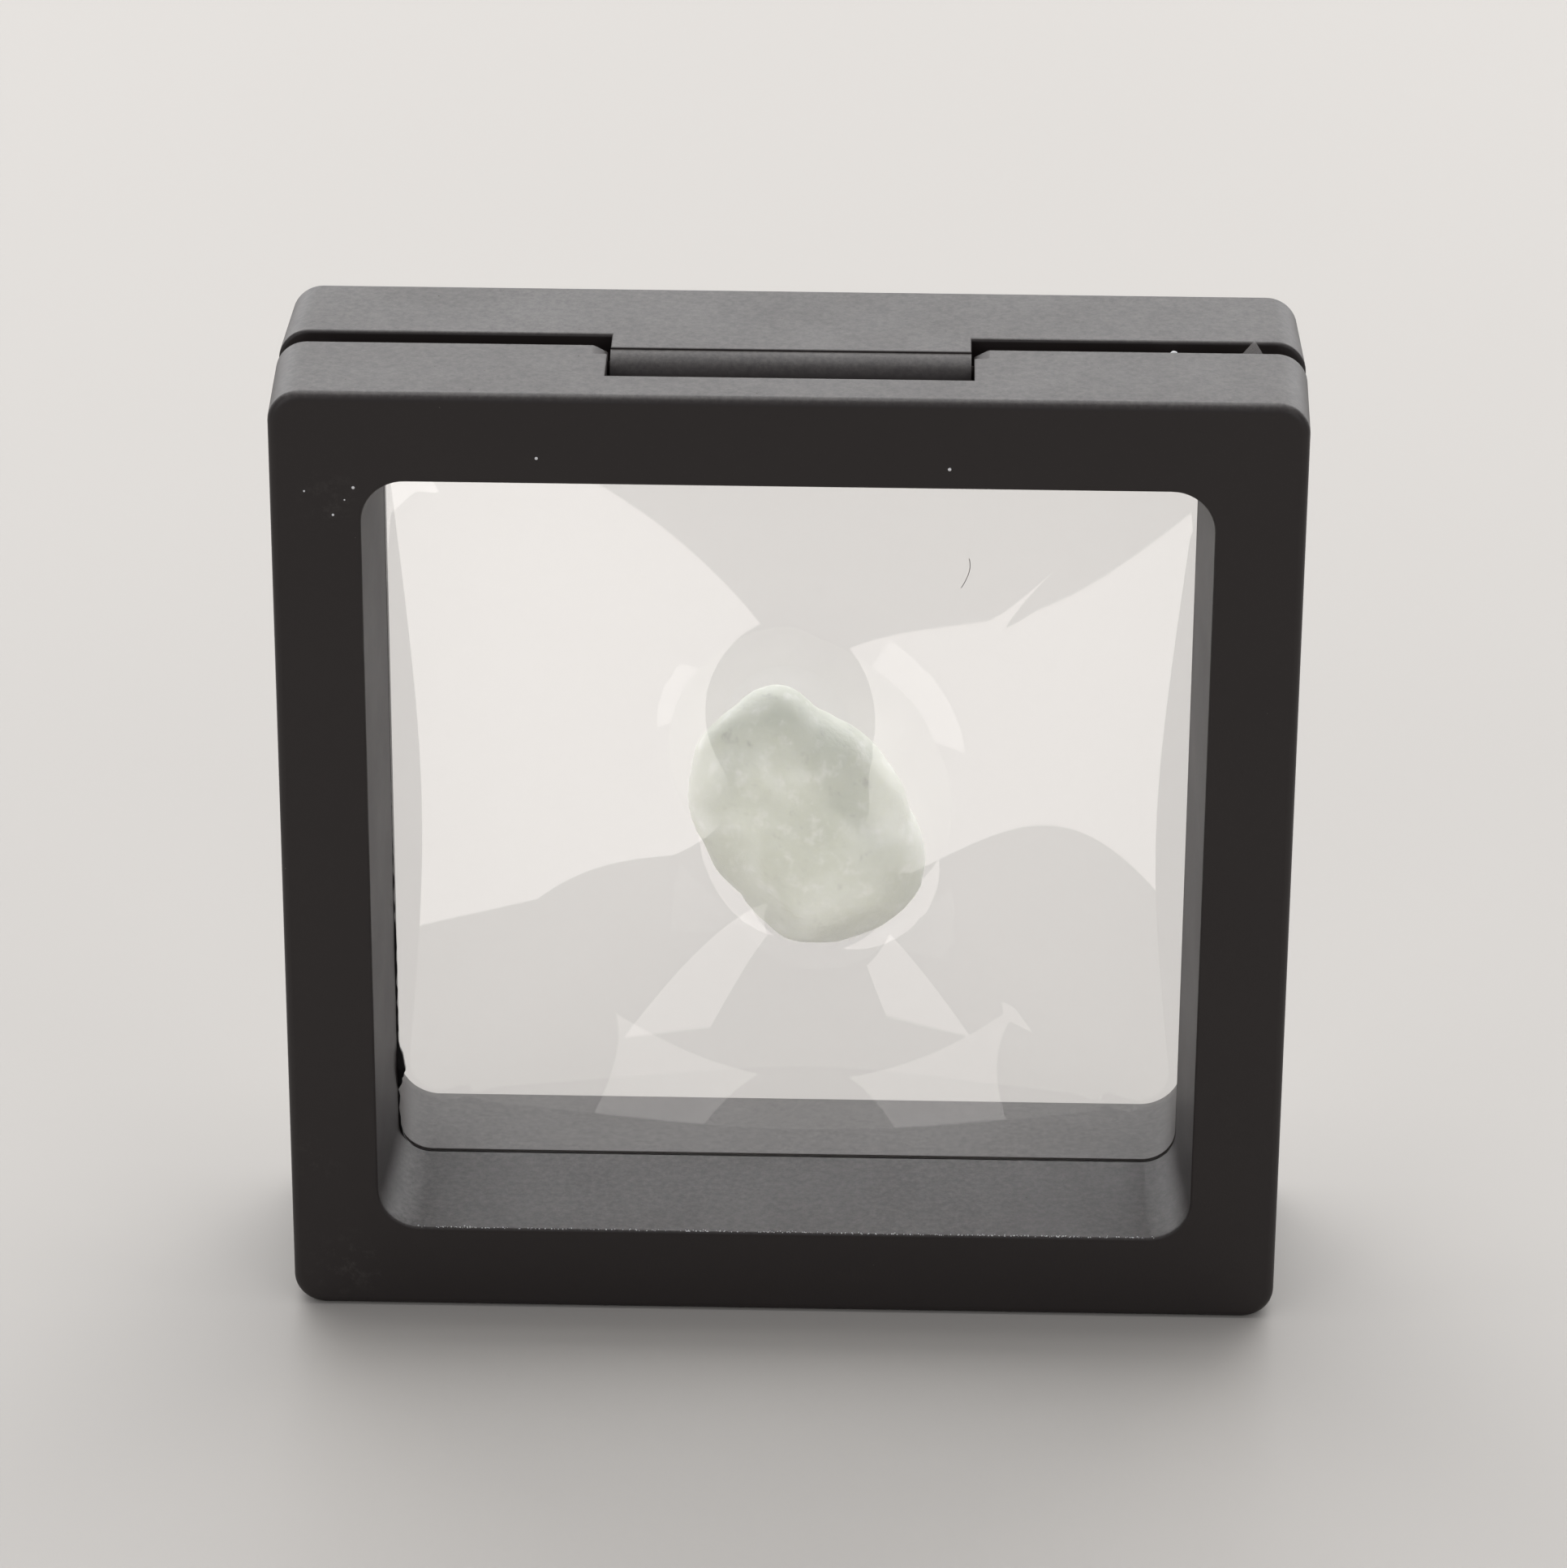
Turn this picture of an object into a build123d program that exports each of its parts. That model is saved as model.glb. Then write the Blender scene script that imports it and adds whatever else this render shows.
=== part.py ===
import os

from build123d import *

# A hinged frame that holds a mineral specimen between two stretched clear films.
# All sizes are in millimetres. The case stands on its bottom edge and faces -Y.
# X runs across it, Z runs up, and the origin is under the middle of the case.
# The two halves meet at the parting plane, which is at Y = 0.

# The case
case_width = 70.0
case_height = 70.0
case_depth = 20.0
corner_radius = 2.2  # the four outer corners, seen from the front
side_draft = 0.25  # how much each side wall leans in, from the parting plane to the face
face_round = 0.6  # the long edges round the front and back faces
seam_round = 0.25  # the outer edges at the seam
face_border = 6.35  # frame width at the front and back faces
film_border = 7.1  # frame width at the film, so the window walls flare outwards
window_radius = 3.0  # window corners at the faces
film_window_radius = 2.4  # window corners at the film
window_edge_round = 0.2

# The seam between the halves
front_seam_setback = 0.65  # from the parting plane to the front half's outer zone
back_seam_setback = 1.2
land_width = 3.0  # raised land round the window, where the film is stuck down

# The films and what they are stuck with
film_thickness = 0.1
film_gap = 0.1  # between the two films at the parting plane
film_trim = 0.1  # how far the film's cut edge stays inside the land's edge
adhesive_thickness = 0.1
adhesive_inset = 0.2  # from the window's edge to the adhesive's inner edge

# The specimen between the films
specimen_length = 21.6
specimen_breadth = 14.2
specimen_depth = 10.0
specimen_lean = 31.0  # degrees, its top leans towards -X
specimen_x = 1.25
specimen_z = 34.5
specimen_end_share = 0.45  # size of its front and back ends against its middle
specimen_shoulder_share = 0.86  # size of its shoulders against its middle
specimen_shoulder_depth = 0.6  # where the shoulders lie, against half its depth
specimen_clearance = 0.3  # between the specimen and the film over it
film_tip_margin = 1.5  # how far the film's flat tip runs past the specimen's end
film_tip_radius = 3.0

# The hinge at the top
tongue_width = 24.4
hinge_depth = 2.0  # from the top face down to the hinge axis
hinge_setback = 0.5  # from the front half's seam face to the hinge axis
barrel_radius = 1.85
notch_side_clearance = 0.2
notch_floor_clearance = 0.25
notch_swing_space = 2.9  # in front of the barrel, for the tongue as it turns
notch_edge_round = 0.5
edge_break = 0.1  # on the crisp edges of the tongues and of what they fit into
tongue_root = 0.6  # how far the tongue runs into the back half
stub_radius = 0.9
stub_length = 1.2
stub_clearance = 0.05  # radial
stub_end_gap = 0.25
lead_in_width = 1.1
lead_in_length = 1.75
lead_in_drop = 0.6

# The latch at the bottom
latch_width = 18.0
latch_thickness = 1.4
latch_reach = 3.4  # from the parting plane to the latch's tip
latch_floor_gap = 0.15  # above the surface that the case stands on
latch_bead_radius = 0.25
latch_bead_setback = 0.8  # from the tip to the bead
latch_clearance = 0.3

# Sizes that follow from the ones above
half_depth = case_depth / 2
film_face = film_gap / 2
adhesive_face = film_face + film_thickness
land_face = adhesive_face + adhesive_thickness
film_window_width = case_width - 2 * film_border
film_window_height = case_height - 2 * film_border
land_outer_width = film_window_width + 2 * land_width
land_outer_height = film_window_height + 2 * land_width
land_radius = film_window_radius + land_width / 2
film_width = land_outer_width - 2 * film_trim
film_height = land_outer_height - 2 * film_trim
middle = (0, case_height / 2)
hinge_y = -front_seam_setback - hinge_setback
hinge_z = case_height - hinge_depth
notch_width = tongue_width + 2 * notch_side_clearance
notch_floor = hinge_z - barrel_radius - notch_floor_clearance
notch_front = hinge_y - barrel_radius - notch_swing_space
stub_reach = tongue_width / 2 + stub_length
latch_top = latch_floor_gap + latch_thickness


def depth_plane(y):
    """The sketch plane that faces -Y at the depth y, with Z up in it."""
    return Plane.XZ.offset(-y)


def frame_ring(seam_setback):
    """The plain ring of one half, on the -Y side of the parting plane."""
    with BuildPart() as ring:
        with BuildSketch():
            Polygon(
                (-case_width / 2, -seam_setback),
                (-case_width / 2 + side_draft, -half_depth),
                (case_width / 2 - side_draft, -half_depth),
                (case_width / 2, -seam_setback),
                align=None,
            )
        extrude(amount=case_height)
        fillet(ring.edges().filter_by(lambda e: abs((e % 0.5).Y) > 0.9), corner_radius)
        fillet(ring.faces().sort_by(Axis.Y)[0].edges(), face_round)
        fillet(ring.faces().sort_by(Axis.Y)[-1].edges(), seam_round)
        with BuildSketch(depth_plane(-land_face)):
            with Locations(middle):
                RectangleRounded(land_outer_width, land_outer_height, land_radius)
        extrude(amount=seam_setback - land_face)
        with BuildSketch(depth_plane(-land_face)):
            with Locations(middle):
                RectangleRounded(film_window_width, film_window_height, film_window_radius)
        with BuildSketch(depth_plane(-half_depth)):
            with Locations(middle):
                RectangleRounded(
                    case_width - 2 * face_border,
                    case_height - 2 * face_border,
                    window_radius,
                )
        loft(mode=Mode.SUBTRACT)
        window_edge = ring.faces().sort_by(Axis.Y)[0].inner_wires()[0].edges()
        fillet(window_edge, window_edge_round)
    return ring.part


def adhesive_ring():
    """The flat ring of adhesive on the front half's land."""
    with BuildPart() as ring:
        with BuildSketch(depth_plane(-adhesive_face)):
            with Locations(middle):
                RectangleRounded(film_width, film_height, land_radius)
                RectangleRounded(
                    film_window_width + 2 * adhesive_inset,
                    film_window_height + 2 * adhesive_inset,
                    film_window_radius,
                    mode=Mode.SUBTRACT,
                )
        extrude(amount=adhesive_thickness)
    return ring.part


def tented_film():
    """The front film: a flat margin on the land, drawn out over the specimen."""
    tip_height = specimen_depth / 2 + specimen_clearance
    tip_size = specimen_length * specimen_end_share + 2 * film_tip_margin
    with BuildPart() as film:
        with BuildSketch(depth_plane(-film_face)):
            with Locations(middle):
                RectangleRounded(film_width, film_height, land_radius)
        extrude(amount=film_thickness)
        for skin, mode in ((film_thickness, Mode.ADD), (0.0, Mode.SUBTRACT)):
            with BuildSketch(depth_plane(-film_face - skin)):
                with Locations(middle):
                    RectangleRounded(
                        film_window_width + 2 * (skin - film_thickness),
                        film_window_height + 2 * (skin - film_thickness),
                        film_window_radius,
                    )
            with BuildSketch(depth_plane(-tip_height - skin)):
                with Locations((specimen_x, specimen_z)):
                    RectangleRounded(tip_size + 2 * skin, tip_size + 2 * skin, film_tip_radius)
            loft(ruled=True, mode=mode)
    return film.part


front_ring = frame_ring(front_seam_setback)
back_ring = frame_ring(back_seam_setback)
front_adhesive = adhesive_ring()
plain_film = tented_film()

# The front half: the ring, with the hinge notch in its top and the latch recess in its bottom
with BuildPart() as front_frame:
    add(front_ring)
    with BuildSketch(Plane.XY.offset(notch_floor)):
        with Locations((0, notch_front)):
            Rectangle(notch_width, -notch_front, align=(Align.CENTER, Align.MIN))
    extrude(amount=case_height - notch_floor, mode=Mode.SUBTRACT)
    notch_front_edge = (
        front_frame.edges()
        .filter_by(Axis.X)
        .filter_by_position(Axis.Y, notch_front - 0.01, notch_front + 0.01)
        .sort_by(Axis.Z)[-1]
    )
    fillet(notch_front_edge, notch_edge_round)
    notch_side_edges = (
        front_frame.edges()
        .filter_by(Axis.Y)
        .filter_by_position(Axis.Z, case_height - 0.01, case_height + 0.01)
        .filter_by_position(Axis.X, -notch_width / 2 - 0.01, notch_width / 2 + 0.01)
    )
    fillet(notch_side_edges, edge_break)
    with BuildSketch(Plane.YZ):
        with Locations((hinge_y, hinge_z)):
            Circle(stub_radius + stub_clearance)
    extrude(amount=stub_reach + stub_end_gap, both=True, mode=Mode.SUBTRACT)
    with BuildSketch(depth_plane(-front_seam_setback)):
        with BuildLine():
            Polyline(
                (notch_width / 2, case_height),
                (notch_width / 2 + lead_in_width, case_height),
                (notch_width / 2, case_height - lead_in_drop),
                close=True,
            )
        make_face()
        mirror(about=Plane.YZ)
    extrude(amount=lead_in_length, mode=Mode.SUBTRACT)
    with BuildSketch(Plane.XY):
        with Locations((0, -latch_reach - latch_clearance)):
            Rectangle(
                latch_width + 2 * latch_clearance,
                latch_reach + latch_clearance,
                align=(Align.CENTER, Align.MIN),
            )
    extrude(amount=latch_top + latch_clearance, mode=Mode.SUBTRACT)

# The hinge tongue of the back half, which ends in a barrel with a pivot stub at each side
with BuildPart() as hinge_tongue:
    with BuildSketch(Plane.YZ):
        with Locations((hinge_y, case_height)):
            Rectangle(
                back_seam_setback + tongue_root - hinge_y,
                hinge_depth + barrel_radius,
                align=(Align.MIN, Align.MAX),
            )
    extrude(amount=tongue_width / 2, both=True)
    tongue_top = hinge_tongue.faces().sort_by(Axis.Z)[-1]
    fillet(tongue_top.edges().sort_by(Axis.Y)[:3], edge_break)
    with BuildSketch(Plane.YZ):
        with Locations((hinge_y, hinge_z)):
            Circle(barrel_radius)
    extrude(amount=tongue_width / 2, both=True)
    with BuildSketch(Plane.YZ):
        with Locations((hinge_y, hinge_z)):
            Circle(stub_radius)
    extrude(amount=stub_reach, both=True)

# The latch tongue of the back half, with its bead
with BuildPart() as latch_tongue:
    with BuildSketch(Plane.YZ):
        with Locations((-latch_reach, latch_floor_gap)):
            Rectangle(
                latch_reach + back_seam_setback + tongue_root,
                latch_thickness,
                align=(Align.MIN, Align.MIN),
            )
    extrude(amount=latch_width / 2, both=True)
    latch_under = latch_tongue.faces().sort_by(Axis.Z)[0]
    fillet(latch_under.edges().sort_by(Axis.Y)[:3], edge_break)
    with BuildSketch(Plane.YZ):
        with Locations((latch_bead_setback - latch_reach, latch_top)):
            Circle(latch_bead_radius)
    extrude(amount=latch_width / 2, both=True)

# The back half: the ring with both tongues
with BuildPart() as back_frame:
    mirror(back_ring, about=Plane.XZ)
    add(hinge_tongue.part)
    add(latch_tongue.part)

# The adhesive and the film of each half
with BuildPart() as front_film_adhesive:
    add(front_adhesive)

with BuildPart() as back_film_adhesive:
    mirror(front_adhesive, about=Plane.XZ)

with BuildPart() as front_film:
    add(plain_film)

with BuildPart() as back_film:
    mirror(plain_film, about=Plane.XZ)

# The specimen: a rounded lump, longer than it is wide, that leans over
with BuildPart() as specimen:
    for share, size in (
        (-1.0, specimen_end_share),
        (-specimen_shoulder_depth, specimen_shoulder_share),
        (0.0, 1.0),
        (specimen_shoulder_depth, specimen_shoulder_share),
        (1.0, specimen_end_share),
    ):
        with BuildSketch(depth_plane(share * specimen_depth / 2)):
            with Locations((specimen_x, specimen_z)):
                Ellipse(
                    size * specimen_breadth / 2,
                    size * specimen_length / 2,
                    rotation=specimen_lean,
                )
    loft()

front_frame.part.label = "front_frame"
back_frame.part.label = "back_frame"
front_film_adhesive.part.label = "front_film_adhesive"
back_film_adhesive.part.label = "back_film_adhesive"
front_film.part.label = "front_film"
back_film.part.label = "back_film"
specimen.part.label = "specimen"

os.makedirs("parts", exist_ok=True)
export_step(front_frame.part, "parts/front_frame.step")
export_step(back_frame.part, "parts/back_frame.step")
export_step(front_film_adhesive.part, "parts/front_film_adhesive.step")
export_step(back_film_adhesive.part, "parts/back_film_adhesive.step")
export_step(front_film.part, "parts/front_film.step")
export_step(back_film.part, "parts/back_film.step")
export_step(specimen.part, "parts/specimen.step")
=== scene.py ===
import math

import bmesh
import bpy
import numpy as np
from mathutils import Matrix, Vector, noise
from mathutils.bvhtree import BVHTree


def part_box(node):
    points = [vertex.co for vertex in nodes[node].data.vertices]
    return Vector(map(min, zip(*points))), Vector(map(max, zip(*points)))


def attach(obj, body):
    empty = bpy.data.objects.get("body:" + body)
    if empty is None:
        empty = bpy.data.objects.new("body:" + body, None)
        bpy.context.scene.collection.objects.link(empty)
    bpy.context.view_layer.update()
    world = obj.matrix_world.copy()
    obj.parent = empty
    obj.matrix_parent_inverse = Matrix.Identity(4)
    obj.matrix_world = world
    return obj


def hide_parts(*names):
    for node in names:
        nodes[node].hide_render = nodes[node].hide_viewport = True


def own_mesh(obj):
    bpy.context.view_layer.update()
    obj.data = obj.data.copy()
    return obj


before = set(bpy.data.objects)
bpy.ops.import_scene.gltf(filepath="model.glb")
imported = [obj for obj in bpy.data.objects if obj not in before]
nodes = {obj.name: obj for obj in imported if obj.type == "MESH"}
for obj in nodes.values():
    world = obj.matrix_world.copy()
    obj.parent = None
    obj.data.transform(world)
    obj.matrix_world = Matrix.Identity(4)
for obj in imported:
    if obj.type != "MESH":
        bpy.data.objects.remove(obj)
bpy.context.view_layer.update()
mm = 0.001
print("loaded", sorted(nodes))

frontLow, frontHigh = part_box("front_frame")
stoneLow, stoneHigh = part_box("specimen")
caseMiddle = (frontLow.z + frontHigh.z) / 2


# small tools
def linear(hexCode):  # an sRGB hex colour as linear values
    parts = [int(hexCode[i:i + 2], 16) / 255 for i in (1, 3, 5)]
    return [p / 12.92 if p <= 0.04045 else ((p + 0.055) / 1.055) ** 2.4 for p in parts] + [1.0]


def addNode(tree, kind, settings=None, links=None):  # one node, its settings and what feeds it
    made = tree.nodes.new(kind)
    for key, value in (settings or {}).items():
        if isinstance(key, str) and hasattr(made, key):
            setattr(made, key, value)
        else:
            made.inputs[key].default_value = value
    for key, source in (links or {}).items():
        tree.links.new(source, made.inputs[key])
    return made


def startMaterial(name):
    material = bpy.data.materials.new(name)
    material.use_nodes = True
    material.node_tree.nodes.clear()
    return material, material.node_tree


def closeMaterial(tree, shader):
    addNode(tree, "ShaderNodeOutputMaterial", links={"Surface": shader.outputs[0]})


def makeMesh(name, points, faces, material, smooth=True):
    mesh = bpy.data.meshes.new(name)
    mesh.from_pydata([tuple(p) for p in points], [], [tuple(int(i) for i in f) for f in faces])
    mesh.update()
    if smooth:
        mesh.shade_smooth()
    mesh.materials.append(material)
    made = bpy.data.objects.new(name, mesh)
    bpy.context.scene.collection.objects.link(made)
    return made


def bakeObject(obj):  # the object as its modifiers leave it, as a plain mesh
    graph = bpy.context.evaluated_depsgraph_get()
    mesh = bpy.data.meshes.new_from_object(obj.evaluated_get(graph), depsgraph=graph)
    obj.modifiers.clear()
    obj.data = mesh
    return obj


# the camera looks down a little, from far away
viewer = {
    "aside": -0.17,  # mm, the point looked at, from the middle of the front face
    "height": 41.63,  # mm
    "distance": 441.2,  # mm
    "turn": 1.18,  # degrees to the right of straight on
    "tilt": 25.81,  # degrees above the level
    "roll": 0.31,
    "lens": 148.37,
}


def placeCamera():
    turn, tilt = math.radians(viewer["turn"]), math.radians(viewer["tilt"])
    back = Vector((math.sin(turn) * math.cos(tilt), -math.cos(turn) * math.cos(tilt), math.sin(tilt)))
    target = Vector((viewer["aside"] * mm, frontLow.y, viewer["height"] * mm))
    roll = Matrix.Rotation(math.radians(viewer["roll"]), 4, "Z")
    turned = back.to_track_quat("Z", "Y").to_matrix().to_4x4() @ roll
    data = bpy.data.cameras.new("camera")
    data.lens = viewer["lens"]
    data.sensor_width = 36
    data.sensor_fit = "HORIZONTAL"
    data.clip_start = 0.01
    made = bpy.data.objects.new("camera", data)
    made.matrix_world = Matrix.Translation(target + back * viewer["distance"] * mm) @ turned
    bpy.context.scene.collection.objects.link(made)
    bpy.context.scene.camera = made


placeCamera()
print("camera placed")


# materials
blackPlastic = {
    "color": "#1c1412",
    "dust": "#b9b2aa",
    "roughness": 0.5,
    "grain": 0.16,  # mm, width of the eroded texture's bumps, a little coarser than real so that it shows
    "grainDepth": 0.012,  # mm
    "scuffSize": 9.0,  # mm
    "powderSize": 0.45,  # mm, patches of fine dust
    "powder": 0.09,  # how pale the dust makes what faces up
    "streakSize": 0.8,  # mm
    # where the front is rubbed, in mm from the middle of the base, how far that reaches, and how pale it is
    "rubbed": [((-30.8, -10, 3.2), 3.4, 0.075), ((-32.9, -10, 11.7), 2.2, 0.05),
               ((-30.8, -10, 62.4), 2.4, 0.06)],
}


def mouldedAbs():  # injection moulded ABS from an eroded tool: deep black straight on, grey at a low angle
    s = blackPlastic
    material, tree = startMaterial("mouldedAbs")
    place = addNode(tree, "ShaderNodeTexCoord")
    grain = addNode(tree, "ShaderNodeTexNoise",
                    {"Scale": 1 / (s["grain"] * mm), "Detail": 2.0, "Roughness": 0.55},
                    {"Vector": place.outputs["Object"]})
    cloud = addNode(tree, "ShaderNodeTexNoise",
                    {"Scale": 1 / (s["scuffSize"] * mm), "Detail": 5.0, "Roughness": 0.62},
                    {"Vector": place.outputs["Object"]})
    rough = addNode(tree, "ShaderNodeMapRange",
                    {"To Min": s["roughness"] - 0.06, "To Max": s["roughness"] + 0.1},
                    {"Value": cloud.outputs["Fac"]})
    powder = addNode(tree, "ShaderNodeTexNoise",
                     {"Scale": 1 / (s["powderSize"] * mm), "Detail": 3.0, "Roughness": 0.7},
                     {"Vector": place.outputs["Object"]})
    upward = addNode(tree, "ShaderNodeSeparateXYZ", {}, {"Vector": place.outputs["Normal"]})
    lies = addNode(tree, "ShaderNodeMapRange",
                   {"From Min": 0.2, "From Max": 1.0, "To Min": 0.0, "To Max": s["powder"]},
                   {"Value": upward.outputs["Z"]})
    patch = addNode(tree, "ShaderNodeMapRange", {"From Min": 0.35, "From Max": 0.75},
                    {"Value": powder.outputs["Fac"]})
    veil = addNode(tree, "ShaderNodeMath", {"operation": "MULTIPLY"},
                   {0: patch.outputs[0], 1: lies.outputs[0]})
    streaks = addNode(tree, "ShaderNodeTexNoise",
                      {"Scale": 1 / (s["streakSize"] * mm), "Detail": 6.0, "Roughness": 0.75},
                      {"Vector": place.outputs["Object"]})
    for spot, reach, strength in s["rubbed"]:
        away = addNode(tree, "ShaderNodeVectorMath", {"operation": "DISTANCE", 1: [v * mm for v in spot]},
                       {0: place.outputs["Object"]})
        near = addNode(tree, "ShaderNodeMapRange", {"From Max": reach * mm, "To Min": 1.0, "To Max": 0.0},
                       {"Value": away.outputs["Value"]})
        strokes = addNode(tree, "ShaderNodeMapRange", {"From Min": 0.5, "From Max": 0.72, "To Max": strength},
                          {"Value": streaks.outputs["Fac"]})
        rub = addNode(tree, "ShaderNodeMath", {"operation": "MULTIPLY"},
                      {0: near.outputs[0], 1: strokes.outputs[0]})
        veil = addNode(tree, "ShaderNodeMath", {"operation": "ADD"}, {0: veil.outputs[0], 1: rub.outputs[0]})
    color = addNode(tree, "ShaderNodeMix", {"data_type": "RGBA", 6: linear(s["color"]), 7: linear(s["dust"])},
                    {"Factor": veil.outputs[0]})
    bump = addNode(tree, "ShaderNodeBump", {"Strength": 0.6, "Distance": s["grainDepth"] * mm},
                   {"Height": grain.outputs["Fac"]})
    shader = addNode(tree, "ShaderNodeBsdfPrincipled", {"IOR": 1.53},
                     {"Base Color": color.outputs[2], "Roughness": rough.outputs[0],
                      "Normal": bump.outputs[0]})
    closeMaterial(tree, shader)
    return material


clearFilm = {
    "tint": "#f3ece6",
    "haze": 0.016,  # share of light that the film scatters
    "creasedHaze": 0.07,  # the same where it is creased
    "smearSize": 7.0,  # mm
    "mirror": 1.5,  # index of refraction
    "roughness": 0.02,
    "clinging": 0.05,  # share of its gloss that is left where it clings to the specimen
}


def stretchedFilm(name, haze):  # cast polyurethane film: hardly seen, but mirrors bright things palely
    s = clearFilm
    material, tree = startMaterial(name)
    place = addNode(tree, "ShaderNodeTexCoord")
    smear = addNode(tree, "ShaderNodeTexNoise",
                    {"Scale": 1 / (s["smearSize"] * mm), "Detail": 4.0, "Roughness": 0.6},
                    {"Vector": place.outputs["Object"]})
    cloudy = addNode(tree, "ShaderNodeMapRange", {"To Min": haze * 0.6, "To Max": haze * 1.4},
                     {"Value": smear.outputs["Fac"]})
    clear = addNode(tree, "ShaderNodeBsdfTransparent")
    milky = addNode(tree, "ShaderNodeBsdfDiffuse", {"Color": linear(s["tint"])})
    body = addNode(tree, "ShaderNodeMixShader", {},
                   {0: cloudy.outputs[0], 1: clear.outputs[0], 2: milky.outputs[0]})
    skin = addNode(tree, "ShaderNodeNewGeometry")
    index = addNode(tree, "ShaderNodeMapRange", {"To Min": s["mirror"], "To Max": 1 / s["mirror"]},
                    {"Value": skin.outputs["Backfacing"]})  # both skins mirror as seen from the air
    facing = addNode(tree, "ShaderNodeFresnel", {}, {"IOR": index.outputs[0]})
    cling = addNode(tree, "ShaderNodeAttribute", {"attribute_name": "clinging"})
    free = addNode(tree, "ShaderNodeMapRange", {"To Min": 1.0, "To Max": s["clinging"]},
                   {"Value": cling.outputs["Fac"]})
    share = addNode(tree, "ShaderNodeMath", {"operation": "MULTIPLY"},
                    {0: facing.outputs[0], 1: free.outputs[0]})
    mirror = addNode(tree, "ShaderNodeBsdfGlossy", {"Color": (1, 1, 1, 1), "Roughness": s["roughness"]})
    shader = addNode(tree, "ShaderNodeMixShader", {},
                     {0: share.outputs[0], 1: body.outputs[0], 2: mirror.outputs[0]})
    closeMaterial(tree, shader)
    return material


quartz = {
    "skin": "#dddfd2",
    "veil": "#e7e9df",
    "shade": "#d3d6c9",
    "inclusion": "#b3b1ac",
    "fleck": "#fdfcf8",
    "veilSize": 6.0,  # mm
    # painted glow: the paler, cooler colour painted on the lower end for light that shines up through the
    # stone
    "clear": "#f6f7ef",
    "paintedGlowBelow": 1.0,  # mm under the specimen's middle, where the painted glow on its lower end begins
    "fleckSize": 1.5,  # mm
    "pitSize": 0.5,  # mm
    "pitDepth": 0.09,  # mm
}


def wornQuartz():  # river-worn milky quartz: a frosted skin over a glowing, clouded inside, and a painted glow on its lower end
    s = quartz
    material, tree = startMaterial("wornMilkyQuartz")
    place = addNode(tree, "ShaderNodeTexCoord")
    clouds = addNode(tree, "ShaderNodeTexNoise",
                     {"Scale": 1 / (s["veilSize"] * mm), "Detail": 5.0, "Roughness": 0.5, "Distortion": 0.5},
                     {"Vector": place.outputs["Object"]})
    ramp = addNode(tree, "ShaderNodeValToRGB", {}, {"Fac": clouds.outputs["Fac"]})
    ramp.color_ramp.elements[0].position, ramp.color_ramp.elements[0].color = 0.32, linear(s["shade"])
    ramp.color_ramp.elements[1].position, ramp.color_ramp.elements[1].color = 0.68, linear(s["veil"])
    ramp.color_ramp.elements.new(0.5).color = linear(s["skin"])
    pits = addNode(tree, "ShaderNodeTexNoise",
                   {"Scale": 1 / (s["pitSize"] * mm), "Detail": 5.0, "Roughness": 0.6},
                   {"Vector": place.outputs["Object"]})
    flecks = addNode(tree, "ShaderNodeTexNoise",
                     {"Scale": 1 / (s["fleckSize"] * mm), "Detail": 5.0, "Roughness": 0.65},
                     {"Vector": place.outputs["Object"]})
    white = addNode(tree, "ShaderNodeMapRange", {"From Min": 0.53, "From Max": 0.72, "To Max": 0.5},
                    {"Value": flecks.outputs["Fac"]})
    bright = addNode(tree, "ShaderNodeMix", {"data_type": "RGBA", 7: linear(s["fleck"])},
                     {"Factor": white.outputs[0], 6: ramp.outputs[0]})
    grey = addNode(tree, "ShaderNodeMapRange", {"From Min": 0.4, "From Max": 0.26, "To Max": 0.5},
                   {"Value": flecks.outputs["Fac"]})
    clouded = addNode(tree, "ShaderNodeMix", {"data_type": "RGBA", 7: linear(s["inclusion"])},
                      {"Factor": grey.outputs[0], 6: bright.outputs[2]})
    height = addNode(tree, "ShaderNodeSeparateXYZ", {}, {"Vector": place.outputs["Object"]})
    middle = (stoneLow.z + stoneHigh.z) / 2
    # painted glow: towards its lower end the colour is painted paler and cooler, standing in for light
    # shining up through the stone
    paintedGlowShare = addNode(tree, "ShaderNodeMapRange",
                    {"From Min": middle - s["paintedGlowBelow"] * mm, "From Max": stoneLow.z + 2 * mm,
                     "To Max": 0.6},
                    {"Value": height.outputs["Z"]})
    glowPainted = addNode(tree, "ShaderNodeMix", {"data_type": "RGBA", 7: linear(s["clear"])},
                    {"Factor": paintedGlowShare.outputs[0], 6: clouded.outputs[2]})
    bump = addNode(tree, "ShaderNodeBump", {"Strength": 0.8, "Distance": s["pitDepth"] * mm},
                   {"Height": pits.outputs["Fac"]})
    shader = addNode(tree, "ShaderNodeBsdfPrincipled",
                     {"IOR": 1.54, "Roughness": 0.55, "Subsurface Weight": 0.85, "Subsurface Scale": 1.3 * mm,
                      "Subsurface Radius": (1.0, 1.0, 0.92)},
                     {"Base Color": glowPainted.outputs[2], "Normal": bump.outputs[0]})
    closeMaterial(tree, shader)
    return material


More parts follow.
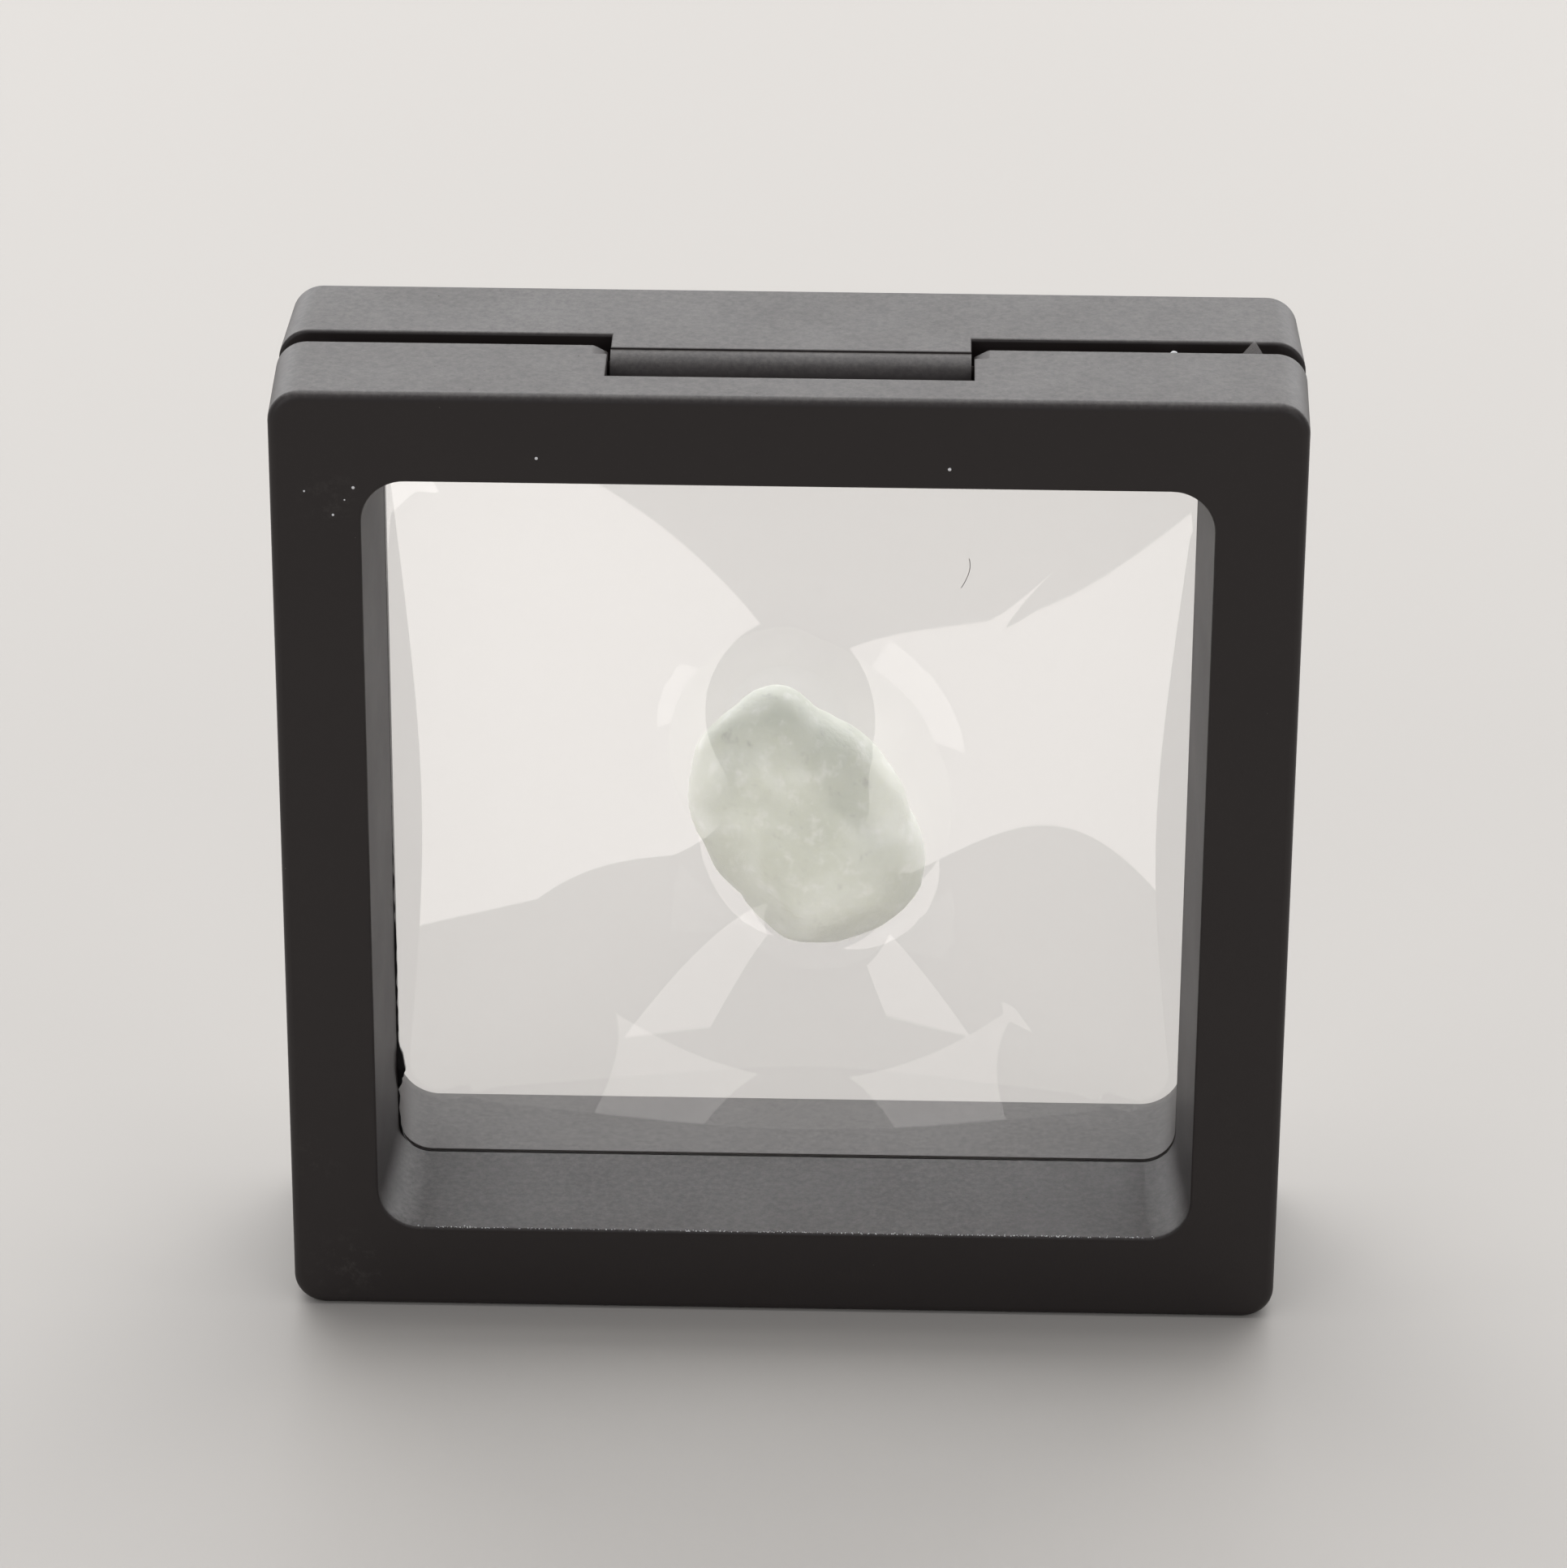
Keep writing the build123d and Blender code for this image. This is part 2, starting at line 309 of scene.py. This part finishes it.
def contactAdhesive():  # black solvent adhesive, dried glossy and a little lumpy
    material, tree = startMaterial("blackContactAdhesive")
    place = addNode(tree, "ShaderNodeTexCoord")
    lumps = addNode(tree, "ShaderNodeTexNoise", {"Scale": 1 / (0.6 * mm), "Detail": 3.0},
                    {"Vector": place.outputs["Object"]})
    bump = addNode(tree, "ShaderNodeBump", {"Strength": 0.5, "Distance": 0.03 * mm},
                   {"Height": lumps.outputs["Fac"]})
    rough = addNode(tree, "ShaderNodeMapRange", {"To Min": 0.22, "To Max": 0.5},
                    {"Value": lumps.outputs["Fac"]})
    shader = addNode(tree, "ShaderNodeBsdfPrincipled", {"Base Color": linear("#0b0a0a"), "IOR": 1.5},
                     {"Normal": bump.outputs[0], "Roughness": rough.outputs[0]})
    closeMaterial(tree, shader)
    return material


absMaterial = mouldedAbs()
filmMaterial = stretchedFilm("stretchedPolyurethane", clearFilm["haze"])
flapMaterial = stretchedFilm("creasedPolyurethane", clearFilm["creasedHaze"])
stoneMaterial = wornQuartz()
glueMaterial = contactAdhesive()
print("materials made")


# the two half frames
def halfFrame(nodeName, pieceName, body):  # the moulding, merged and smoothed over its rounds
    mesh = nodes[nodeName].data.copy()
    mesh.name = pieceName
    work = bmesh.new()
    work.from_mesh(mesh)
    bmesh.ops.remove_doubles(work, verts=work.verts, dist=0.0005 * mm)
    # each facet of a round becomes one face, and shades evenly
    bmesh.ops.join_triangles(work, faces=work.faces, angle_face_threshold=math.radians(0.3),
                             angle_shape_threshold=math.pi)
    work.to_mesh(mesh)
    work.free()
    mesh.shade_smooth()
    mesh.set_sharp_from_angle(angle=math.radians(32))
    mesh.materials.clear()
    mesh.materials.append(absMaterial)
    made = bpy.data.objects.new(pieceName, mesh)
    bpy.context.scene.collection.objects.link(made)
    weighted = made.modifiers.new("flat faces stay flat", "WEIGHTED_NORMAL")
    weighted.keep_sharp = True
    weighted.weight = 100
    bakeObject(made)
    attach(made, body)
    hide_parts(nodeName)
    return made


frontMoulding = halfFrame("front_frame", "frontMoulding", "front")
backMoulding = halfFrame("back_frame", "backMoulding", "back")
print("frames made")


# the adhesive rings
glue = {
    "steps": 900,
    "windowHalf": 27.9,  # mm, the window at the film
    "windowRadius": 2.4,  # mm
    "inset": 0.15,  # mm, from the window's edge to the adhesive, where none is squeezed out
    "wander": 0.12,  # mm
    "squeezed": 0.34,  # mm past the window's edge, down the left side of the front half
    "lump": (-27.9, 13.9, 1.7, 0.42),  # mm: its place across and up, half its length and how far it comes out
}


def glueSpread(x, z, phase):  # how far the adhesive's inner edge lies outside the window's edge
    edge = glue["inset"] + glue["wander"] * noise.noise(Vector((x / 2.3, z / 2.3, phase)))
    edge += 0.05 * noise.noise(Vector((x / 0.5, z / 0.5, phase)))
    if phase > 0:
        return edge
    side = max(0, min(1, (-26.5 - x) / 1.2)) * max(0.25, min(1, (50 - z) / 30))
    edge -= glue["squeezed"] * side * (0.8 + 0.5 * noise.noise(Vector((x, z / 1.4, 3))))
    lumpX, lumpZ, lumpReach, lumpOut = glue["lump"]
    near = 1 - math.hypot(x - lumpX, z - lumpZ) / lumpReach
    return edge - lumpOut * (max(0, near) ** 0.6) * (1 + 0.4 * noise.noise(Vector((x * 2, z * 2, 5))))


def makeGlue(nodeName, pieceName, body, side):
    low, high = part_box(nodeName)
    half, r = glue["windowHalf"], glue["windowRadius"]
    outer = (high.x - low.x) / 2 / mm - half
    filmSide, landSide = (abs(high.y), abs(low.y)) if side < 0 else (abs(low.y), abs(high.y))
    straight, quarter = 2 * (half - r), math.pi / 2 * r
    points = []
    for i in range(glue["steps"]):
        t = i / glue["steps"] * 4 * (straight + quarter)
        turn, along = divmod(t, straight + quarter)
        if along < straight:
            local, out = Vector((along - straight / 2, half)), Vector((0, 1))
        else:
            angle = (along - straight) / r
            out = Vector((math.sin(angle), math.cos(angle)))
            local = Vector((half - r, half - r)) + out * r
        spin = Matrix.Rotation(-turn * math.pi / 2, 2)
        local, out = spin @ local, spin @ out
        inner = glueSpread(local.x, local.y + caseMiddle / mm, 0 if side < 0 else 7)
        swell = max(0, -inner) * 0.6 * mm
        section = ((inner, filmSide), (inner, landSide + swell),
                   (max(inner + 0.06, 0.0), landSide + swell * 0.8), (max(inner + 0.12, 0.02), landSide),
                   (outer, landSide), (outer, filmSide))
        for offset, depth in section:
            q = local + out * offset
            points.append((q.x * mm, side * depth, q.y * mm + caseMiddle))
    n, k = glue["steps"], 6
    faces = []
    for i in range(n):
        for j in range(k):
            quad = (i * k + j, i * k + (j + 1) % k, (i + 1) % n * k + (j + 1) % k, (i + 1) % n * k + j)
            faces.append(quad[::-1] if side < 0 else quad)
    made = makeMesh(pieceName, points, faces, glueMaterial)
    made.data.set_sharp_from_angle(angle=math.radians(50))
    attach(made, body)
    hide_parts(nodeName)
    return made


makeGlue("front_film_adhesive", "frontGlueRing", "front", -1)
makeGlue("back_film_adhesive", "backGlueRing", "back", 1)
print("adhesive made")


# the specimen
stone = {
    # mm from the specimen's middle, its outline seen from the front
    "outline": [(-4.9, 8.3), (-4.0, 9.1), (-2.6, 9.6), (-1.2, 9.6), (-0.2, 8.9), (0.7, 7.8), (2.2, 7.0),
                (3.9, 5.9), (5.7, 3.7), (7.3, 0.3), (8.4, -3.4), (8.2, -5.0), (7.0, -6.9), (5.4, -8.3),
                (3.6, -9.2), (2.0, -9.5), (-1.5, -9.2), (-3.0, -8.0), (-4.7, -5.9), (-7.2, -2.3),
                (-8.3, 0.9), (-8.1, 3.2), (-7.7, 5.2)],
    "depth": 9.9,
    # worn crystal faces: the way each one looks, and how far out it lies
    "facets": [(-0.42, -0.75, -0.5, 0.92), (0.26, -0.76, -0.6, 0.91), (0.05, -1.0, 0.06, 0.95),
               (-0.5, -0.8, 0.34, 0.93), (0.46, -0.8, 0.38, 0.91), (0.6, -0.75, -0.2, 0.93),
               (-0.4, 0.8, -0.4, 0.92), (0.45, 0.78, 0.4, 0.91), (0.1, 0.9, -0.42, 0.94),
               (-0.45, 0.8, 0.3, 0.93), (0.0, 1.0, 0.1, 0.95)],
    "bumps": ((6.0, 0.4), (2.2, 0.12), (0.7, 0.02)),  # mm, how wide and how high
    "detail": 6,
    "slices": 120,  # of its outline, each brought back to its own distance
}


def outlineRadius(angles):  # the outline's distance from the middle, rounded a little between its points
    corner = np.array(stone["outline"])
    around = np.arctan2(corner[:, 1], corner[:, 0])
    far = np.hypot(corner[:, 0], corner[:, 1])
    order = np.argsort(around)
    spread = np.radians(np.linspace(-2.5, 2.5, 5))
    return np.mean([np.interp(angles + d, around[order], far[order], period=2 * math.pi) for d in spread],
                   axis=0)


def makeStone():
    work = bmesh.new()
    bmesh.ops.create_icosphere(work, subdivisions=stone["detail"], radius=1.0)
    mesh = bpy.data.meshes.new("specimenStone")
    work.to_mesh(mesh)
    work.free()
    p = np.array([v.co for v in mesh.vertices])
    around = np.arctan2(p[:, 2], p[:, 0])
    wide = np.hypot(p[:, 0], p[:, 2]) ** 0.82  # fuller shoulders than an ellipsoid's
    deep = np.sign(p[:, 1]) * np.abs(p[:, 1]) ** 0.9 * stone["depth"] / 2
    far = outlineRadius(around)
    p = np.stack([np.cos(around) * far * wide, deep, np.sin(around) * far * wide], axis=1)
    for nx, ny, nz, share in stone["facets"]:  # each cuts its side down to a flat with soft edges
        normal = np.array((nx, ny, nz)) / np.linalg.norm((nx, ny, nz))
        along = p @ normal
        over = np.maximum(along - along.max() * share, 0)
        p -= np.outer(over * over / (over + 0.35) * 0.9, normal)
    lift = np.array([sum(h * noise.noise(Vector(q) / w) for w, h in stone["bumps"]) for q in p])
    away = p / np.linalg.norm(p, axis=1)[:, None]
    p += away * lift[:, None]
    around = np.arctan2(p[:, 2], p[:, 0])
    slices = stone["slices"]
    bins = np.floor((around + math.pi) / (2 * math.pi) * slices).astype(int) % slices
    reach = np.zeros(slices)
    np.maximum.at(reach, bins, np.hypot(p[:, 0], p[:, 2]))
    middles = (np.arange(slices) + 0.5) / slices * 2 * math.pi - math.pi
    grow = np.interp(around, middles, outlineRadius(middles) / reach, period=2 * math.pi)
    p[:, (0, 2)] *= grow[:, None]  # the outline comes back as it was before the faces were cut
    middle = (stoneLow + stoneHigh) / 2
    mesh.vertices.foreach_set("co", (p * mm + np.array(middle)).astype(np.float32).ravel())
    mesh.update()
    mesh.shade_smooth()
    mesh.materials.append(stoneMaterial)
    made = bpy.data.objects.new("specimenStone", mesh)
    bpy.context.scene.collection.objects.link(made)
    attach(made, "front")
    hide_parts("specimen")
    return made


stonePiece = makeStone()
print("specimen made")


# the two films
film = {
    "cells": 128,  # across the window
    "marginCells": 4,
    "border": 3.0,  # mm of the film on the frame, beside the window
    "windowRadius": 2.4,  # mm
    "cutRadius": 3.9,  # mm, the film's own corners
    "thickness": 0.1,  # mm
    "overStone": 0.09,  # mm, from the stone's skin to the middle of the film
    "passes": 900,
    "haste": 1.93,  # how far past its neighbours' mean a point goes in each pass, so that it settles sooner
    "rest": 0.1,  # share of its tent that the back film keeps with the case open
}


def ringed(a, b, edge, radius):  # moves a point of a square ring onto the same ring with round corners
    ring = np.maximum(np.abs(a), np.abs(b))
    r = np.minimum(radius(ring), ring)
    start = ring - r
    overA, overB = np.maximum(np.abs(a) - start, 0), np.maximum(np.abs(b) - start, 0)
    corner = (overA > 0) & (overB > 0) & (r > 0)
    safe = np.where(r > 0, r, 1)
    angle = np.where(overA >= overB, overB / safe, 2 - overA / safe) * math.pi / 4
    newA = np.where(corner, start + r * np.cos(angle), np.abs(a))
    newB = np.where(corner, start + r * np.sin(angle), np.abs(b))
    return np.sign(a) * newA, np.sign(b) * newB


def makeFilm(name, nodeName, body, side):
    low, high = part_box(nodeName)
    window = (high.x - low.x) / 2 / mm - film["border"] + 0.1
    outer = (high.x - low.x) / 2 / mm
    inner = np.linspace(-window, window, film["cells"] + 1)
    margin = np.linspace(window, outer, film["marginCells"] + 1)[1:]
    line = np.concatenate([-margin[::-1], inner, margin])
    a, b = np.meshgrid(line, line, indexing="ij")
    growth = (film["cutRadius"] - film["windowRadius"]) / (outer - window)

    def radius(ring):
        inside = film["windowRadius"] * np.clip(ring / window, 0, 1) ** 3
        return np.where(ring <= window, inside, film["windowRadius"] + (ring - window) * growth)

    x, z = ringed(a, b, window, radius)
    x, z = x * mm, z * mm + caseMiddle
    flat = (0.05 + film["thickness"] / 2) * mm
    tree = BVHTree.FromObject(stonePiece, bpy.context.evaluated_depsgraph_get())
    height = np.full(x.shape, flat)
    under = np.full(x.shape, -1.0)
    for i in range(len(line)):
        for j in range(len(line)):
            start = Vector((x[i, j], side * 0.03, z[i, j]))
            hit = tree.ray_cast(start, Vector((0, -side, 0)))[0]
            if hit is not None:
                under[i, j] = side * hit.y + film["overStone"] * mm
    m = film["marginCells"]
    free = np.zeros(x.shape, bool)
    free[m + 1:-m - 1, m + 1:-m - 1] = True
    parity = (np.add.outer(np.arange(len(line)), np.arange(len(line))) % 2).astype(bool)
    for i in range(film["passes"]):  # a stretched skin: each point settles between its neighbours
        for odd in (False, True):
            around = np.zeros_like(height)
            around[1:-1, 1:-1] = (height[2:, 1:-1] + height[:-2, 1:-1]
                                  + height[1:-1, 2:] + height[1:-1, :-2]) / 4
            pick = free & (parity == odd)
            height[pick] += film["haste"] * (around[pick] - height[pick])
            height[pick] = np.maximum(height[pick], np.maximum(under[pick], flat))
    n = len(line)
    points = np.stack([x.ravel(), side * height.ravel(), z.ravel()], axis=1)
    faces = []
    for i in range(n - 1):
        for j in range(n - 1):
            quad = (i * n + j, (i + 1) * n + j, (i + 1) * n + j + 1, i * n + j + 1)
            faces.append(quad if side < 0 else quad[::-1])
    made = makeMesh(name, points, faces, filmMaterial)
    touch = (height < under + 0.01 * mm).astype(float)
    for i in range(3):
        spread = np.maximum.reduce([touch[2:, 1:-1], touch[:-2, 1:-1], touch[1:-1, 2:], touch[1:-1, :-2]])
        touch[1:-1, 1:-1] = np.maximum(touch[1:-1, 1:-1], spread)
    for i in range(4):
        touch[1:-1, 1:-1] = (touch[1:-1, 1:-1] + touch[2:, 1:-1] + touch[:-2, 1:-1] + touch[1:-1, 2:]
                             + touch[1:-1, :-2]) / 5
    cling = made.data.attributes.new("clinging", "FLOAT", "POINT")
    cling.data.foreach_set("value", touch.ravel().astype(np.float32))
    skin = made.modifiers.new("film thickness", "SOLIDIFY")
    skin.thickness = film["thickness"] * mm
    skin.offset = 0
    bakeObject(made)
    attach(made, body)
    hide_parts(nodeName)
    print(name, "tented to", round(float(height.max()) / mm, 2), "mm")
    return made


frontFilmPiece = makeFilm("frontFilmSheet", "front_film", "front", -1)
backFilmPiece = makeFilm("backFilmSheet", "back_film", "back", 1)
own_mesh(backFilmPiece)


# the loose corner of film in the seam, dust, a row of specks painting the highlight on the window's lower
# edge, and a fibre
small = {
    "flap": [(29.9, -0.1, 65.3), (30.7, -0.1, 65.3), (30.25, -0.3, 69.4), (32.2, -0.3, 69.3),
             (31.4, 0.75, 70.35)],
    # mm: specks that stand out, each with its size
    "specks": [(-16.8, -10.0, 65.5, 0.11), (10.8, -10.0, 65.1, 0.12), (-29.1, -10.0, 63.2, 0.11),
               (-32.4, -10.0, 62.9, 0.07), (-30.5, -10.0, 61.2, 0.09), (-29.7, -10.0, 62.3, 0.06),
               (25.9, -0.5, 69.7, 0.3), (25.5, -0.45, 69.6, 0.18), (17.9, -0.4, 69.6, 0.1)],
    "glintRowHeight": 6.37,  # mm, the window's lower front edge, where a row of lint specks is partly dust and partly a painted highlight of the light that edge catches
    "glintRowHalf": 26.5,  # mm
    "glintRowCount": 320,
    "glintSpeckSize": 0.026,
    "fibre": [(12.3, -1.55, 54.9), (12.5, -1.6, 54.3), (12.3, -1.65, 53.6), (11.8, -1.75, 52.8)],
    "fibreWidth": 0.05,
}
dust = {
    "perArea": 0.035,  # specks to a square millimetre on what faces up
    "smallest": 0.02,  # mm
    "largest": 0.06,
    "seed": 5,
}


def lintMaterial():  # pale lint and skin dust, matt and a little warm
    material, tree = startMaterial("paleLint")
    place = addNode(tree, "ShaderNodeTexCoord")
    tone = addNode(tree, "ShaderNodeTexNoise", {"Scale": 1 / (0.3 * mm)}, {"Vector": place.outputs["Object"]})
    color = addNode(tree, "ShaderNodeMix", {"data_type": "RGBA", 6: linear("#413d3a"), 7: linear("#6d6761")},
                    {"Factor": tone.outputs["Fac"]})
    closeMaterial(tree, addNode(tree, "ShaderNodeBsdfPrincipled", {"Roughness": 0.9},
                                {"Base Color": color.outputs[2]}))
    return material


lint = lintMaterial()


def scatterTree():  # specks spread over a surface, most of them on what faces up
    tree = bpy.data.node_groups.new("dustScatter", "GeometryNodeTree")
    for socket, kind in (("Geometry", "Geometry"), ("Per Area", "Float"), ("Smallest", "Float"),
                         ("Largest", "Float"), ("Seed", "Int"), ("Material", "Material")):
        tree.interface.new_socket(socket, in_out="INPUT", socket_type="NodeSocket" + kind)
    tree.interface.new_socket("Geometry", in_out="OUTPUT", socket_type="NodeSocketGeometry")
    given = addNode(tree, "NodeGroupInput")
    way = addNode(tree, "GeometryNodeInputNormal")
    parts = addNode(tree, "ShaderNodeSeparateXYZ", {}, {0: way.outputs[0]})
    up = addNode(tree, "ShaderNodeMapRange", {"From Min": 0.3, "From Max": 0.95, "To Min": 0.12},
                 {"Value": parts.outputs["Z"]})
    density = addNode(tree, "ShaderNodeMath", {"operation": "MULTIPLY"},
                      {0: up.outputs[0], 1: given.outputs["Per Area"]})
    spots = addNode(tree, "GeometryNodeDistributePointsOnFaces", {},
                    {"Mesh": given.outputs["Geometry"], "Density": density.outputs[0],
                     "Seed": given.outputs["Seed"]})
    ball = addNode(tree, "GeometryNodeMeshIcoSphere", {"Radius": 1.0, "Subdivisions": 1})
    size = addNode(tree, "FunctionNodeRandomValue", {"data_type": "FLOAT"},
                   {2: given.outputs["Smallest"], 3: given.outputs["Largest"], "Seed": given.outputs["Seed"]})
    flat = addNode(tree, "ShaderNodeCombineXYZ", {}, {"X": size.outputs[1], "Y": size.outputs[1]})
    thin = addNode(tree, "ShaderNodeMath", {"operation": "MULTIPLY", 1: 0.4}, {0: size.outputs[1]})
    tree.links.new(thin.outputs[0], flat.inputs["Z"])
    placed = addNode(tree, "GeometryNodeInstanceOnPoints", {},
                     {"Points": spots.outputs["Points"], "Instance": ball.outputs[0],
                      "Rotation": spots.outputs["Rotation"], "Scale": flat.outputs[0]})
    real = addNode(tree, "GeometryNodeRealizeInstances", {}, {"Geometry": placed.outputs[0]})
    painted = addNode(tree, "GeometryNodeSetMaterial", {},
                      {"Geometry": real.outputs[0], "Material": given.outputs["Material"]})
    addNode(tree, "NodeGroupOutput", {}, {0: painted.outputs[0]})
    return tree


def makeDust(surface, pieceName, body, extra):
    made = bpy.data.objects.new(pieceName, surface.data.copy())
    bpy.context.scene.collection.objects.link(made)
    scatter = made.modifiers.new("dust", "NODES")
    scatter.node_group = scatterTree()
    wanted = {"Per Area": dust["perArea"] / mm ** 2, "Smallest": dust["smallest"] * mm,
              "Largest": dust["largest"] * mm, "Seed": dust["seed"], "Material": lint}
    for item in scatter.node_group.interface.items_tree:
        if item.in_out == "INPUT" and item.name in wanted:
            scatter[item.identifier] = wanted[item.name]
    bakeObject(made)
    work = bmesh.new()
    work.from_mesh(made.data)
    for x, y, z, size in extra:
        flat = Matrix.Diagonal((size * mm, size * 0.4 * mm, size * mm, 1))
        shape = Matrix.Translation((x * mm, y * mm, z * mm)) @ flat
        bmesh.ops.create_icosphere(work, subdivisions=2, radius=1.0, matrix=shape)
    work.to_mesh(made.data)
    work.free()
    made.data.shade_smooth()
    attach(made, body)
    print(pieceName, len(made.data.polygons), "faces")
    return made


def makeFibre():
    path = bpy.data.curves.new("filmFibre", "CURVE")
    path.dimensions = "3D"
    line = path.splines.new("NURBS")
    line.points.add(len(small["fibre"]) - 1)
    for point, place in zip(line.points, small["fibre"]):
        point.co = [v * mm for v in place] + [1]
    line.use_endpoint_u = True
    path.bevel_depth = small["fibreWidth"] / 2 * mm
    path.bevel_resolution = 1
    path.use_fill_caps = True
    path.materials.append(lint)
    made = bpy.data.objects.new("curveFibre", path)
    bpy.context.scene.collection.objects.link(made)
    graph = bpy.context.evaluated_depsgraph_get()
    mesh = bpy.data.meshes.new_from_object(made.evaluated_get(graph), depsgraph=graph)
    bpy.data.objects.remove(made)
    fibre = bpy.data.objects.new("filmFibre", mesh)
    bpy.context.scene.collection.objects.link(fibre)
    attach(fibre, "front")


# a row of lint specks along the window's lower front edge: partly dust, partly a painted highlight for the
# light that edge catches
generator = np.random.default_rng(3)
glintRow = [(generator.uniform(-small["glintRowHalf"], small["glintRowHalf"]), -9.9,
         small["glintRowHeight"] + generator.normal() * 0.05,
         small["glintSpeckSize"] * generator.uniform(0.6, 2.0)) for i in range(small["glintRowCount"])]
makeDust(frontMoulding, "frontDustAndEdgeGlint", "front", small["specks"] + glintRow)
makeDust(backMoulding, "backDust", "back", [])
makeFibre()
flapCorners = [[v * mm for v in p] for p in small["flap"]]
flap = makeMesh("filmFlap", flapCorners, [(0, 1, 3, 2), (2, 3, 4)], flapMaterial, False)
flapSkin = flap.modifiers.new("film thickness", "SOLIDIFY")
flapSkin.thickness = film["thickness"] * mm
bakeObject(flap)
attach(flap, "front")
print("small things made")


# floor and light
studio = {
    "floor": "#a6a29d",
    "floorSize": 3.0,  # m across
    "sky": 0.34,
    "skyTone": "#f4f6ff",
    "card": "#fffbf7",
}


def makeFloor():
    material, tree = startMaterial("paleStudioFloor")
    place = addNode(tree, "ShaderNodeTexCoord")
    tone = addNode(tree, "ShaderNodeTexNoise", {"Scale": 6.0, "Detail": 3.0},
                   {"Vector": place.outputs["Object"]})
    rough = addNode(tree, "ShaderNodeMapRange", {"To Min": 0.5, "To Max": 0.62},
                    {"Value": tone.outputs["Fac"]})
    shader = addNode(tree, "ShaderNodeBsdfPrincipled", {"Base Color": linear(studio["floor"])},
                     {"Roughness": rough.outputs[0]})
    closeMaterial(tree, shader)
    h = studio["floorSize"] / 2
    made = makeMesh("studioFloor", [(-h, -h, 0), (h, -h, 0), (h, h, 0), (-h, h, 0)], [(0, 1, 2, 3)], material)


def addPanel(name, place, aim, size, radiance, tone="#ffffff"):  # a soft, even rectangular light
    data = bpy.data.lights.new(name, "AREA")
    data.shape = "RECTANGLE"
    data.size, data.size_y = size
    data.energy = radiance * math.pi * size[0] * size[1]
    data.color = linear(tone)[:3]
    made = bpy.data.objects.new(name, data)
    made.location = place
    made.rotation_euler = (Vector(place) - Vector(aim)).to_track_quat("Z", "Y").to_euler()
    made.visible_camera = False
    bpy.context.scene.collection.objects.link(made)
    return made


def addCard(name, corner, far, turn, radiance):  # a low bright card that the films mirror
    size = (abs(far[0] - corner[0]) * mm, abs(far[1] - corner[1]) * mm)
    middle = ((corner[0] + far[0]) / 2 * mm, (corner[1] + far[1]) / 2 * mm, 1 * mm)
    made = addPanel(name, middle, (middle[0], middle[1], 1), size, radiance, studio["card"])
    made.rotation_euler = (math.pi, 0, math.radians(turn))
    made.light_linking.receiver_collection = cardGroup


cardGroup = bpy.data.collections.new("lit by the cards")
for piece in (frontFilmPiece, backFilmPiece, stonePiece):
    cardGroup.objects.link(piece)


def lightStudio():
    world = bpy.data.worlds.new("studio")
    world.use_nodes = True
    world.node_tree.nodes["Background"].inputs[0].default_value = linear(studio["skyTone"])
    world.node_tree.nodes["Background"].inputs[1].default_value = studio["sky"]
    bpy.context.scene.world = world
    top = (0, 0, caseMiddle)
    addPanel("backPanel", (0, 1.1, 0.8), top, (1.8, 0.9), 3.2)
    addPanel("overheadBox", (0, 0.2, 1.1), top, (1.4, 0.8), 2.9)
    addPanel("leftSide", (-0.8, 0.95, 0.3), top, (0.9, 0.55), 2.8)
    addPanel("rightSide", (0.8, 0.95, 0.3), top, (0.9, 0.55), 2.8)
    addPanel("leftWindow", (-0.75, -0.9, 0.6), top, (0.5, 0.6), 2.4)
    addPanel("rightWindow", (0.75, -0.9, 0.6), top, (0.5, 0.6), 2.0)
    addCard("leftCard", (-300, -450), (-31, -45), 0, 1.75)
    addCard("rightCard", (41, -450), (300, -45), 0, 1.6)
    addCard("leftStrip", (-12, -50), (-5, -20), 12, 1.0)
    addCard("rightStrip", (6, -50), (13, -20), -12, 1.0)


makeFloor()
lightStudio()
bpy.context.scene.view_settings.view_transform = "Standard"
print("studio lit")
